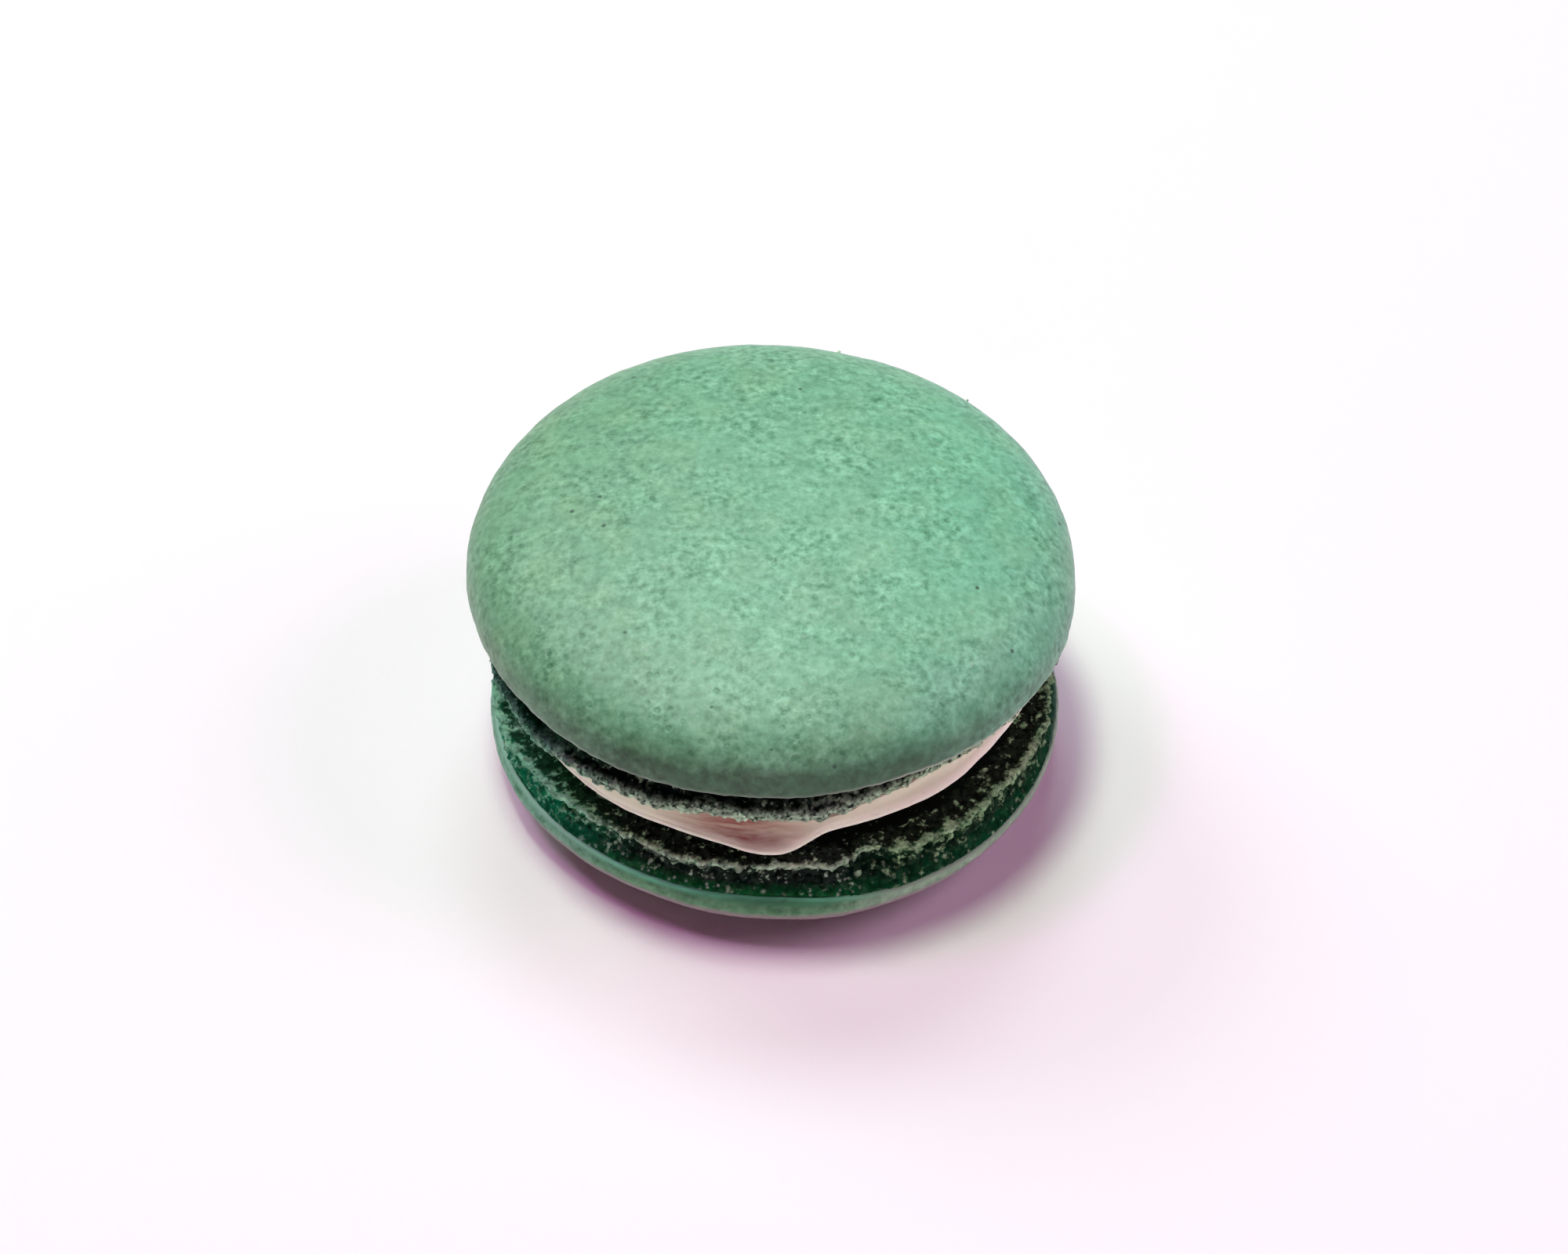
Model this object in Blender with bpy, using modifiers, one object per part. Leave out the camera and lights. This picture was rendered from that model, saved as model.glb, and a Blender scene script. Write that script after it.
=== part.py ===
"""A French macaron: two round almond shells with frilly feet, and a cream filling between them.

Metres, +Z up. The origin is on the table under the middle of the macaron, and -Y is its front. Each
shell is baked in one piece: a smooth domed skin and, under its edge, a foot, the frilly ring that
rises in the oven. The bottom shell lies upside down, on the middle of its dome.
"""

import math
from collections import namedtuple

import bpy
from mathutils import Euler, Matrix, Vector

MM = 0.001
STEPS = 92  # sides of each turned shape
GAP = 0.3 * MM  # clearance between the filling and each shell
ON_AXIS = 0.01 * MM  # a point nearer to the axis than this is on it

# A wave is (count round the circle, amplitude, phase). Heights are from the base of the foot.
Shell = namedtuple(
    "Shell",
    [
        "skin_radius",  # at the skin's widest line
        "foot_radius",
        "foot_height",
        "edge",  # from the skin's lower edge up to its widest line
        "dome",  # from the widest line up to the crown
        "power",  # of the dome's curve: 2 is an ellipse, more is squarer
        "flat",  # radius of the flat spot on the crown
        "waves",  # unevenness of the skin's outline
        "phase",  # turns the foot's ruffles
    ],
)
TOP = Shell(
    skin_radius=22.6 * MM,
    foot_radius=20.9 * MM,
    foot_height=3.2 * MM,
    edge=0.9 * MM,
    dome=7.4 * MM,
    power=2.4,
    flat=0.0,
    waves=((2, 0.10 * MM, 2.4), (3, 0.09 * MM, 0.7), (5, 0.07 * MM, 3.0)),
    phase=0.0,
)
BOTTOM = Shell(
    skin_radius=21.8 * MM,
    foot_radius=21.2 * MM,
    foot_height=3.3 * MM,
    edge=0.8 * MM,
    dome=4.1 * MM,
    power=2.1,
    flat=8.5 * MM,
    waves=((3, 0.24 * MM, 2.8), (4, 0.15 * MM, 3.6), (5, 0.12 * MM, 5.7)),
    phase=1.9,
)
DOME_POINTS = 9  # on the curve from the crown to the widest line
EDGE_POINTS = 3
DOME_RELIEF = ((2, 0.07 * MM, 0.0), (5, 0.04 * MM, 1.0))  # low swells of the dome

# The top shell sits a little to the left, and tilts about X and about Y.
TOP_BASE_HEIGHT = 13.7 * MM
TOP_SHIFT = -0.45 * MM
TOP_TILT = (math.radians(-0.9), math.radians(1.2))
BOTTOM_BASE_HEIGHT = BOTTOM.foot_height + BOTTOM.edge + BOTTOM.dome

# Foot. Its ruffles start in a groove under the skin, and lean as they go down to the rim.
GROOVE_DEPTH = 0.45 * MM
GROOVE_DROP = 0.15 * MM
RIM_INSET = 0.15 * MM
FOOT_SHARES = (0.25, 0.5, 0.75)  # of the way down the foot
FOOT_ROUNDNESS = 0.7  # power of the foot's bulge: 1 is a sine, less is squarer
FOOT_WAVES = ((3, 0.12 * MM, 0.4), (7, 0.10 * MM, 2.5))
RUFFLES = ((23, 0.24 * MM, 0.0), (14, 0.16 * MM, 1.7))
RUFFLE_FADE = 0.35  # of the ruffles' depth, left at the groove and at the rim
RUFFLE_LEAN = math.radians(5)
RUFFLE_WANDER = math.radians(2)

# Filling. Its lip overhangs the bottom shell. In front it sags, and it bulges out in one broad drip.
# Heights are shares of the space between the two shells.
CREAM_TOP_RADIUS = 20.2 * MM
CREAM_TOP_ROUND = 0.5 * MM
CREAM_FOOT_RADIUS = 16.9 * MM  # where it meets the bottom shell
CREAM_FOOT_ROUND = 0.8 * MM
LIP_RADIUS = 20.1 * MM
LIP_ROUND = 0.6 * MM
LIP_SHARE = 0.55
SIDE_RISE = 0.2  # how much higher the lip is at the left and right
SAG_ANGLE = math.radians(-127)
SAG_WIDTHS = (math.radians(24), math.radians(24))
SAG_SHARE = 0.17
DRIP_ANGLE = math.radians(-91)
DRIP_WIDTHS = (math.radians(13), math.radians(8))  # its left and right flanks
DRIP_SHARE = 0.38
DRIP_REACH = 0.5 * MM
CREAM_WAVES = ((4, 0.10 * MM, 0.3), (9, 0.07 * MM, 2.0), (15, 0.04 * MM, 0.9))

SKIN_COLOR = (0.24, 0.55, 0.38, 1)
CREAM_COLOR = (0.80, 0.60, 0.48, 1)


def sum_of_waves(angle, terms):
    """The waves' total at that angle round the circle."""
    return sum(size * math.cos(count * angle + phase) for count, size, phase in terms)


def flank(angle, centre, widths):
    """A bump of height 1 at centre, with a width for each side of it."""
    away = math.remainder(angle - centre, 2 * math.pi)
    return math.exp(-((away / widths[away > 0]) ** 2))


def quarter(radius, height, inner, power, count):
    """Superellipse quarter as (r, z) points, from (inner, height) out and down to (radius, 0)."""
    points = []
    for i in range(count):
        turn = 0.5 * math.pi * (1 - i / (count - 1))
        across = max(0.0, math.cos(turn)) ** (2 / power)
        up = max(0.0, math.sin(turn)) ** (2 / power)
        points.append((inner + (radius - inner) * across, height * up))
    return points


def shell_section(shell):
    """Half section of a shell as it bakes, foot down, from the crown to the middle of the base.

    Each point is (r, z, share): share of the way down the foot, or None off the foot.
    """
    widest = shell.foot_height + shell.edge
    dome = quarter(shell.skin_radius, shell.dome, shell.flat, shell.power, DOME_POINTS)
    section = [(r, widest + z, None) for r, z in dome]
    if shell.flat:
        section.insert(0, (0.0, widest + shell.dome, None))
    edge = quarter(shell.edge, shell.edge, 0.0, 2, EDGE_POINTS)
    inside = shell.skin_radius - shell.edge
    section += [(inside + z, widest - r, None) for r, z in edge[1:]]
    groove = shell.foot_radius - GROOVE_DEPTH
    section.append((groove, shell.foot_height - GROOVE_DROP, 0.0))
    for share in FOOT_SHARES:
        bulge = GROOVE_DEPTH * math.sin(math.pi * share) ** FOOT_ROUNDNESS
        section.append((groove + bulge, shell.foot_height * (1 - share), share))
    section.append((shell.foot_radius - RIM_INSET, 0.0, 1.0))
    section.append((0.0, 0.0, None))
    return section


def turned(name, points):
    """A mesh turned about the Z axis from (r, z) points that run from the top down."""
    outline = bpy.data.meshes.new(name + "_outline")
    links = [(i, i + 1) for i in range(len(points) - 1)]
    outline.from_pydata([(r, 0, z) for r, z in points], links, [])
    helper = bpy.data.objects.new(name + "_outline", outline)
    bpy.context.scene.collection.objects.link(helper)
    screw = helper.modifiers.new("turn", "SCREW")
    screw.steps = screw.render_steps = STEPS
    screw.use_merge_vertices = True
    screw.merge_threshold = ON_AXIS
    bpy.context.view_layer.update()
    evaluated = helper.evaluated_get(bpy.context.evaluated_depsgraph_get())
    mesh = bpy.data.meshes.new_from_object(evaluated)
    bpy.data.objects.remove(helper)
    mesh.name = name
    mesh.shade_smooth()
    return mesh


def ruffle(angle, share, phase):
    """How far the foot stands out at that angle, and at that share of the way down it."""
    lean = RUFFLE_LEAN * share + RUFFLE_WANDER * math.cos(3 * angle + phase)
    depth = RUFFLE_FADE + (1 - RUFFLE_FADE) * math.sin(math.pi * share)
    return depth * sum_of_waves(angle + lean, RUFFLES) + sum_of_waves(angle + phase, FOOT_WAVES)


def shell_mesh(name, shell):
    """A shell, foot down, with its base on Z = 0, its outline uneven and its foot ruffled."""
    section = shell_section(shell)
    mesh = turned(name, [(r, z) for r, z, _ in section])
    crown = shell.foot_height + shell.edge + shell.dome
    for vertex in mesh.vertices:
        x, y, z = vertex.co
        radius, angle = math.hypot(x, y), math.atan2(y, x)
        if radius < ON_AXIS:
            continue
        nearest = min(section, key=lambda point: abs(point[0] - radius) + abs(point[1] - z))
        share = nearest[2]
        if share is None:
            reach = max(0.0, radius - shell.flat) / (shell.skin_radius - shell.flat)
            radius += sum_of_waves(angle, shell.waves) * reach**2
            drop = min(1.0, (crown - z) / shell.edge)
            z += drop * sum_of_waves(angle + shell.phase, DOME_RELIEF)
        else:
            radius += ruffle(angle, share, shell.phase)
        vertex.co = (radius * math.cos(angle), radius * math.sin(angle), z)
    return mesh


def cream_levels():
    """The filling's section, top to bottom: (r, reach, share, follow).

    reach is how much of the lip's swelling the level takes. Its height is share, and as much of
    the lip's own height as follow says: 1 moves with the lip, 0 stays where it is.
    """
    top, lip, foot = CREAM_TOP_RADIUS, LIP_RADIUS, CREAM_FOOT_RADIUS
    return [
        (0.0, 0.0, 1.0, 0.0),
        (top - CREAM_TOP_ROUND, 0.1, 1.0, 0.0),
        (top, 0.3, 0.95, 0.02),
        ((top + lip) / 2, 0.7, 0.45, 0.55),
        (lip, 1.0, 0.0, 1.0),
        (lip - LIP_ROUND, 0.9, -0.08, 0.98),
        (foot + CREAM_FOOT_ROUND, 0.4, 0.0, 0.3),
        (foot, 0.1, 0.0, 0.0),
        (0.0, 0.0, 0.0, 0.0),
    ]


def lip_share(angle):
    """Height of the lip at that angle, as a share of the space between the shells."""
    rise = SIDE_RISE * math.cos(angle) ** 4
    sag = SAG_SHARE * flank(angle, SAG_ANGLE, SAG_WIDTHS)
    return LIP_SHARE + rise - sag - DRIP_SHARE * flank(angle, DRIP_ANGLE, DRIP_WIDTHS)


def cream_mesh(name, ceiling):
    """The filling, from the bottom shell up to the tilted plane that ceiling(x, y) gives."""
    levels = cream_levels()
    mesh = turned(name, [(level[0], -i * MM) for i, level in enumerate(levels)])
    floor = BOTTOM_BASE_HEIGHT + GAP
    for vertex in mesh.vertices:
        x, y, z = vertex.co
        radius, angle = math.hypot(x, y), math.atan2(y, x)
        _, reach, share, follow = levels[round(-z / MM)]
        if radius > ON_AXIS:
            drip = DRIP_REACH * flank(angle, DRIP_ANGLE, DRIP_WIDTHS)
            radius += reach * (drip + sum_of_waves(angle, CREAM_WAVES))
        x, y = radius * math.cos(angle), radius * math.sin(angle)
        height = share + follow * lip_share(angle)
        vertex.co = (x, y, floor + height * (ceiling(x, y) - GAP - floor))
    return mesh


def material(name, color, roughness):
    """A matte Principled finish."""
    made = bpy.data.materials.new(name)
    made.use_nodes = True
    made.diffuse_color = color
    shader = made.node_tree.nodes["Principled BSDF"]
    shader.inputs["Base Color"].default_value = color
    shader.inputs["Roughness"].default_value = roughness
    shader.inputs["Metallic"].default_value = 0.0
    return made


def add_piece(mesh, finish, collection, place):
    """An object of that mesh and finish, named as its mesh."""
    mesh.materials.append(finish)
    piece = bpy.data.objects.new(mesh.name, mesh)
    piece.matrix_world = place
    collection.objects.link(piece)
    return piece


def centre_over_origin(pieces):
    """Slides the pieces together until their bounding box is centred over the origin."""
    bpy.context.view_layer.update()
    corners = [piece.matrix_world @ v.co for piece in pieces for v in piece.data.vertices]
    low = [min(corner[i] for corner in corners) for i in (0, 1)]
    high = [max(corner[i] for corner in corners) for i in (0, 1)]
    for piece in pieces:
        piece.location -= Vector(((low[0] + high[0]) / 2, (low[1] + high[1]) / 2, 0))


def main():
    """Builds the macaron from the table up."""
    for obj in list(bpy.data.objects):
        bpy.data.objects.remove(obj)
    macaron = bpy.data.collections.new("macaron")
    bpy.context.scene.collection.children.link(macaron)
    skin = material("almond_shell", SKIN_COLOR, 0.75)
    cream = material("cream_filling", CREAM_COLOR, 0.45)

    over = Matrix.Translation((0, 0, BOTTOM_BASE_HEIGHT)) @ Matrix.Rotation(math.pi, 4, "X")
    bottom = add_piece(shell_mesh("shell_bottom", BOTTOM), skin, macaron, over)

    tilt = Euler((TOP_TILT[0], TOP_TILT[1], 0)).to_matrix().to_4x4()
    place = Matrix.Translation((TOP_SHIFT, 0, TOP_BASE_HEIGHT)) @ tilt
    top = add_piece(shell_mesh("shell_top", TOP), skin, macaron, place)

    def ceiling(x, y):
        """Height of the top shell's base over (x, y)."""
        normal = tilt.col[2]
        return TOP_BASE_HEIGHT - (normal.x * (x - TOP_SHIFT) + normal.y * y) / normal.z

    filling = add_piece(cream_mesh("filling", ceiling), cream, macaron, Matrix())
    centre_over_origin([bottom, top, filling])


main()
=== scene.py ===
"""Looks of the french macaron: grained skins, frilly feet, cream filling, floor, lights and camera.

The CAD frame is in metres. Shapes are worked out here in millimetres, in the same named sizes as the
solids they stand for, and are scaled when their meshes are made. +Z is up and -Y is the front.
"""

import math
from collections import namedtuple

import bmesh
import bpy
import numpy as np
from mathutils import Euler, Matrix, Quaternion, Vector, kdtree, noise


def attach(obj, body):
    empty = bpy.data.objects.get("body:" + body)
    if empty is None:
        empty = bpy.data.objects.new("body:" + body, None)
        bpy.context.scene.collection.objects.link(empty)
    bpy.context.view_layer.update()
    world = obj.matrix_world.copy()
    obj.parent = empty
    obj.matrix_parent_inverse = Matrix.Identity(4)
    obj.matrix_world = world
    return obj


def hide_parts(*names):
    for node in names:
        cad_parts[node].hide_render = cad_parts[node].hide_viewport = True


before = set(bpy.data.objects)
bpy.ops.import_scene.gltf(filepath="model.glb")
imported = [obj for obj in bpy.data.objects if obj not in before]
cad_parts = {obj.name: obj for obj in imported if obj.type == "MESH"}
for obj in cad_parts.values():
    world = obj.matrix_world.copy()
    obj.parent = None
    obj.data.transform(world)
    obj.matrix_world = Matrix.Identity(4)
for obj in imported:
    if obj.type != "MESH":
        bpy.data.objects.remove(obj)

MM = 0.001
TURN = 2 * math.pi
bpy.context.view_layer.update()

# A wave is (count round the circle, amplitude, phase). Heights are from the base of the foot.
Shell = namedtuple(
    "Shell", "skin_radius foot_radius foot_height edge dome power flat waves phase seed side crest lift"
)
TOP = Shell(
    skin_radius=22.6,
    foot_radius=20.9,
    foot_height=3.2,
    edge=0.9,
    dome=7.4,
    power=2.4,
    flat=0.0,
    waves=((2, 0.10, 2.4), (3, 0.09, 0.7), (5, 0.07, 3.0)),
    phase=0.0,
    seed=11,
    side=1,
    crest=0.5,
    lift=0.0,
)
BOTTOM = Shell(
    skin_radius=21.8,
    foot_radius=21.2,
    foot_height=3.3,
    edge=0.8,
    dome=4.1,
    power=2.1,
    flat=8.5,
    waves=((3, 0.24, 2.8), (4, 0.15, 3.6), (5, 0.12, 5.7)),
    phase=1.9,
    seed=23,
    side=-1,
    crest=0.87,
    lift=0.45,
)
DOME_RELIEF = ((2, 0.07, 0.0), (5, 0.04, 1.0))
TOP_BASE_HEIGHT = 13.7
TOP_SHIFT = -0.45
TOP_TILT = (math.radians(-0.9), math.radians(1.2))
BOTTOM_BASE_HEIGHT = BOTTOM.foot_height + BOTTOM.edge + BOTTOM.dome

GROOVE_DEPTH = 0.45
GROOVE_DROP = 0.15
FOOT_WAVES = ((3, 0.12, 0.4), (7, 0.10, 2.5))
RUFFLES = ((23, 0.24, 0.0), (14, 0.16, 1.7))

# Cream. Heights are shares of the space between the shells.
GAP = 0.3
CREAM_TOP_RADIUS = 20.2
CREAM_FOOT_RADIUS = 16.9
LIP_RADIUS = 20.1
LIP_SHARE = 0.44
SIDE_RISE = 0.3
SAG_SHARE = 0.235
SAG_ENDS = (math.radians(-160), math.radians(-82))
SAG_SOFT = (math.radians(9), math.radians(3))
DRIP_ANGLE = math.radians(-90)
DRIP_WIDTHS = (math.radians(10), math.radians(6))
DRIP_SHARE = 0.085
DRIP_REACH = 0.45

# Camera, as the photographer stood: looking down on the front, aimed a little up and to the right.
CAMERA_ELEVATION = math.radians(46.2)
CAMERA_DISTANCE = 300.0
CAMERA_TARGET_HEIGHT = 10.0
CAMERA_AIM = (0.61, 1.04)
CAMERA_LENS = 91.2


# Shapes ---------------------------------------------------------------------------------------------


def sum_of_waves(angle, terms):
    """The waves' total at that angle or array of angles."""
    return sum(size * np.cos(count * angle + phase) for count, size, phase in terms)


def flank(angle, centre, widths):
    """A bump of height 1 at centre, with a width for each side of it."""
    away = (np.asarray(angle) - centre + math.pi) % TURN - math.pi
    width = np.where(away > 0, widths[1], widths[0])
    return np.exp(-((away / width) ** 2))


def across(angle, left, front, right):
    """A number that differs on the left, in front (and behind) and on the right."""
    return np.interp(np.cos(angle), (-0.85, -0.5, 0.2, 0.6), (left, front, front, right))


def bump(value, centre, width):
    """A smooth bump of height 1."""
    return np.exp(-(((value - centre) / width) ** 2))


def lumps(points, size, octaves=3):
    """Fractal noise from about -1 to 1 at each point, its largest lumps about that size in mm."""
    flat = np.asarray(points, float).reshape(-1, 3) / size
    values = [noise.fractal(Vector(p), 0.9, 2.1, octaves) for p in flat]
    return np.array(values).reshape(np.shape(points)[:-1])


def standing_place():
    """Where the bottom shell's axis meets the table: the middle of the flat spot it stands on."""
    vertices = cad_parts["shell_bottom"].data.vertices
    spot = np.array([v.co for v in vertices if v.co.z < 0.01 * MM])
    middle = (spot.min(axis=0) + spot.max(axis=0)) / 2
    return Vector((middle[0] / MM, middle[1] / MM, 0))


AXIS = standing_place()
TILT = Euler((TOP_TILT[0], TOP_TILT[1], 0)).to_matrix().to_4x4()
TOP_PLACE = Matrix.Translation(AXIS + Vector((TOP_SHIFT, 0, TOP_BASE_HEIGHT))) @ TILT
OVER = Matrix.Rotation(math.pi, 4, "X")
BOTTOM_PLACE = Matrix.Translation(AXIS + Vector((0, 0, BOTTOM_BASE_HEIGHT))) @ OVER


def quarter(radius, height, inner, power, count):
    """Superellipse quarter as (r, z) rows, from (inner, height) out and down to (radius, 0)."""
    turn = np.linspace(0.5 * math.pi, 0, count)
    across = np.clip(np.cos(turn), 0, 1) ** (2 / power)
    up = np.clip(np.sin(turn), 0, 1) ** (2 / power)
    return np.stack([inner + (radius - inner) * across, height * up], axis=1)


def spaced(path, count):
    """The path's points laid out again at even steps along it."""
    steps = np.hypot(*np.diff(path, axis=0).T)
    along = np.concatenate([[0], np.cumsum(steps)])
    places = np.linspace(0, along[-1], count)
    return np.stack([np.interp(places, along, path[:, i]) for i in (0, 1)], axis=1)


def turned_points(path, columns):
    """Grid of points, rows along the path and columns round the axis, and the columns' angles."""
    angles = np.linspace(0, TURN, columns, endpoint=False)
    radius, height = path[:, 0:1], path[:, 1:2]
    grid = np.stack(
        [radius * np.cos(angles), radius * np.sin(angles), height + 0 * angles], axis=-1
    )
    return grid, angles


def grid_normals(grid):
    """Unit normals of a closed turned grid whose rows run from the top down the outside."""
    down = np.gradient(grid, axis=0)
    across = np.roll(grid, -1, axis=1) - np.roll(grid, 1, axis=1)
    normal = np.cross(down, across)
    return normal / np.maximum(np.linalg.norm(normal, axis=-1, keepdims=True), 1e-9)


def grid_faces(rows, columns):
    """Quads of a turned grid, facing out."""
    start = (np.arange(rows - 1)[:, None] * columns + np.arange(columns)).ravel()
    right = (np.arange(rows - 1)[:, None] * columns + (np.arange(columns) + 1) % columns).ravel()
    return np.stack([start, start + columns, right + columns, right], axis=1)


def mesh_piece(name, points, faces, place, material, marks=None):
    """A smooth-shaded piece from points in mm, set in place, with named values on its points."""
    mesh = bpy.data.meshes.new(name)
    mesh.from_pydata(np.asarray(points).reshape(-1, 3).tolist(), [], np.asarray(faces).tolist())
    mesh.transform(Matrix.Scale(MM, 4) @ place)
    mesh.shade_smooth()
    for mark, values in (marks or {}).items():
        layer = mesh.attributes.new(mark, "FLOAT", "POINT")
        layer.data.foreach_set("value", np.asarray(values, np.float32).ravel())
    mesh.materials.append(material)
    piece = bpy.data.objects.new(name, mesh)
    bpy.context.scene.collection.objects.link(piece)
    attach(piece, "root")
    return piece


# Skins ----------------------------------------------------------------------------------------------

SKIN_ROWS = 120
EDGE_ROWS = 52
EDGE_SHARE = 0.12
SKIN_COLUMNS = 520
CREST_WIDTH = 0.2
CREST_RISE = 0.05
CREST_RIGHT = 0.5
# Painted shade: the top skin's colour darkens towards its lower shoulder, most across the front.
SHOULDER_SHADE_TOP = 8.6
SHOULDER_SHADE_DEPTH = 3.4
SHOULDER_SHADE_WIDTH = math.radians(60)


def skin_path(shell):
    """Half section of the skin, from the crown round its lower edge into the groove over the foot."""
    widest = shell.foot_height + shell.edge
    dome = quarter(shell.skin_radius, shell.dome, shell.flat, shell.power, 200) + [0, widest]
    turn = np.linspace(0, 0.5 * math.pi, 30)[1:]
    inside = shell.skin_radius - shell.edge
    edge = np.stack([inside + shell.edge * np.cos(turn), widest - shell.edge * np.sin(turn)], 1)
    groove = [[shell.foot_radius - 1.2, shell.foot_height - 0.05]]
    start = [[0.001, widest + shell.dome]]
    return np.concatenate([start, dome, edge, groove])


def skin_rows(shell):
    """The skin's half section in rows that lie closer together near its lower edge."""
    path = spaced(skin_path(shell), 2000)
    first = int(2000 * (1 - EDGE_SHARE))
    return np.concatenate([spaced(path[:first], SKIN_ROWS), spaced(path[first:], EDGE_ROWS)])


def crest_past(shell, angle):
    """How far past the skin's widest place its crest line lies, at that angle."""
    world = shell.side * angle
    width = math.radians(15)
    lower = CREST_RIGHT * (shell.lift > 0) * np.clip((np.cos(world) - 0.1) / 0.6, 0, 1)
    return shell.crest - lower + shell.lift * flank(world, math.radians(-90), (width, width))


def crest_place(shell, angle):
    """Radius and height of the skin's crest line."""
    past = crest_past(shell, angle)
    corner = 0.5 * math.pi * shell.edge
    turn = np.minimum(past, corner) / shell.edge
    inside = shell.skin_radius - shell.edge - np.maximum(past - corner, 0)
    radius = inside + shell.edge * np.cos(turn) + sum_of_waves(angle, shell.waves)
    return radius, shell.foot_height + shell.edge * (1 - np.sin(turn))


def make_skin(name, shell, place, material):
    """The smooth domed skin, with its swells, dimples and rough lower edge."""
    path = skin_rows(shell)
    grid, angles = turned_points(path, SKIN_COLUMNS)
    crown = path[0, 1]
    radius, height = path[:, 0:1], path[:, 1:2]
    reach = np.clip((radius - shell.flat) / (shell.skin_radius - shell.flat), 0, 1) ** 2
    wider = reach * sum_of_waves(angles, shell.waves)
    scale = (radius + wider) / np.maximum(radius, 1e-6)
    grid[..., 0] *= scale
    grid[..., 1] *= scale
    drop = np.clip((crown - height) / shell.edge, 0, 1)
    grid[..., 2] += drop * sum_of_waves(angles + shell.phase, DOME_RELIEF)
    widest = shell.foot_height + shell.edge
    rim = bump(height, widest - 0.4, 0.9) * (radius > shell.foot_radius)
    seeded = grid + shell.seed
    relief = 0.10 * lumps(seeded, 7.0, 2) + 0.035 * lumps(seeded, 1.6, 3)
    relief += rim * (0.07 * lumps(seeded, 1.1, 3))
    clear = np.clip((crown - height) / 0.8, 0, 1) if shell.flat else 1.0
    steps = np.concatenate([[0], np.cumsum(np.hypot(*np.diff(path, axis=0).T))])
    past = np.clip(steps - steps[np.argmax(radius)], 0, None)[:, None] + 0 * angles
    crest = bump(past, crest_past(shell, angles), CREST_WIDTH)
    grid += grid_normals(grid) * (relief * clear + CREST_RISE * crest)[..., None]
    # Painted shade: this mark darkens the top skin's lower shoulder, mostly in front; the bottom shell gets
    # none.
    front = flank(shell.side * angles, math.radians(-90), (SHOULDER_SHADE_WIDTH, SHOULDER_SHADE_WIDTH))
    shoulder_shade = np.clip((SHOULDER_SHADE_TOP - height) / SHOULDER_SHADE_DEPTH, 0, 1) * (0.12 + 0.88 * front)
    # Painted reflection: a ring under the bottom shell's widest place is coloured grey-pink, standing in for the
    # floor's pink shade reflected there.
    under = np.clip((height - widest) / 0.5, 0, 1) * np.clip((widest + 3.6 - height) / 0.8, 0, 1)
    marks = {
        "shoulder_shade": shoulder_shade if shell.side > 0 else 0 * shoulder_shade,
        "band": bump(height, widest - 0.2, 1.1) * (shell.flat > 0) + 0 * angles,
        # Painted light: the bottom skin's edge where it faces up before the crest is coloured a lighter green,
        # as if lit.
        "ledge": np.clip((past - 0.5) / 0.35, 0, 1) * (shell.flat > 0),
        "crest": crest,
        # Painted shade: the skin past its crest, where it curls into the groove over the foot, is dark green.
        "join_shade": np.clip((past - crest_past(shell, angles) - 0.08) / 0.15, 0, 1),
        "under": under * (shell.flat > 0) + 0 * angles,
    }
    faces = grid_faces(len(path), SKIN_COLUMNS)
    return mesh_piece(name, grid, faces, place, material, marks)


# Feet -----------------------------------------------------------------------------------------------

FOOT_VOXEL = 0.135
FOOT_CORE = 0.2  # the solid core lies this far under the wall
FOOT_INSIDE = 18.6
FOOT_COLUMNS = 360
FOOT_TEETH = ((41, 0.05), (59, 0.06), (83, 0.05), (127, 0.04))

# The pale rim takes up the share `band` of the wall's height, and the rest lies `recess` further in.
# A lobe is (angle in degrees, width in degrees, how far it pushes the rim out). Three numbers in a
# row are for the left, the front and the right: the share of the recess that is left there, and the
# shares of crumbs that are pale specks, on the wall and on the flat face. Where the wall flares, it
# comes out again below to meet the skin.
Foot = namedtuple(
    "Foot",
    "rim band pale_part dull recess depth flare lobes ridge teeth grain rim_crumbs wall_crumbs "
    "face_crumbs wall_specks face_specks mottles",
)
TOP_FOOT = Foot(
    rim=20.9,
    band=0.34,
    pale_part=(0.9, 1.2, 1.5),
    dull=0.05,
    recess=0.95,
    depth=(1.0, 1.0, 1.0),
    flare=False,
    lobes=(
        (-160, 24, 0.5), (-145, 12, 0.45), (-120, 24, 1.1), (-84, 14, 0.7), (-58, 12, -0.5), (60, 60, -0.2)
    ),
    ridge=(180, 40, 0.2),
    teeth=0.5,
    grain=1.1,
    rim_crumbs=2600,
    wall_crumbs=1200,
    face_crumbs=500,
    wall_specks=(0.1, 0.1, 0.1),
    face_specks=(0.4, 0.4, 0.4),
    mottles=(0.1, 0.0, 0.2),
)
BOTTOM_FOOT = Foot(
    rim=21.05,
    band=0.12,
    pale_part=(1.0, 1.0, 1.0),
    dull=0.25,
    recess=0.85,
    depth=(0.5, 1.0, 0.6),
    flare=True,
    lobes=(
        (-160, 14, 0.7), (-123, 8, -0.5), (-90, 7, -0.3), (-71, 4, -0.8), (-54, 9, 0.45), (-28, 14, 0.25)
    ),
    ridge=(-160, 34, 0.35),
    teeth=1.0,
    grain=1.0,
    rim_crumbs=2200,
    wall_crumbs=3400,
    face_crumbs=2600,
    wall_specks=(0.15, 0.07, 0.10),
    face_specks=(0.3, 0.06, 0.2),
    mottles=(1.25, 0.40, 0.85),
)


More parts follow.
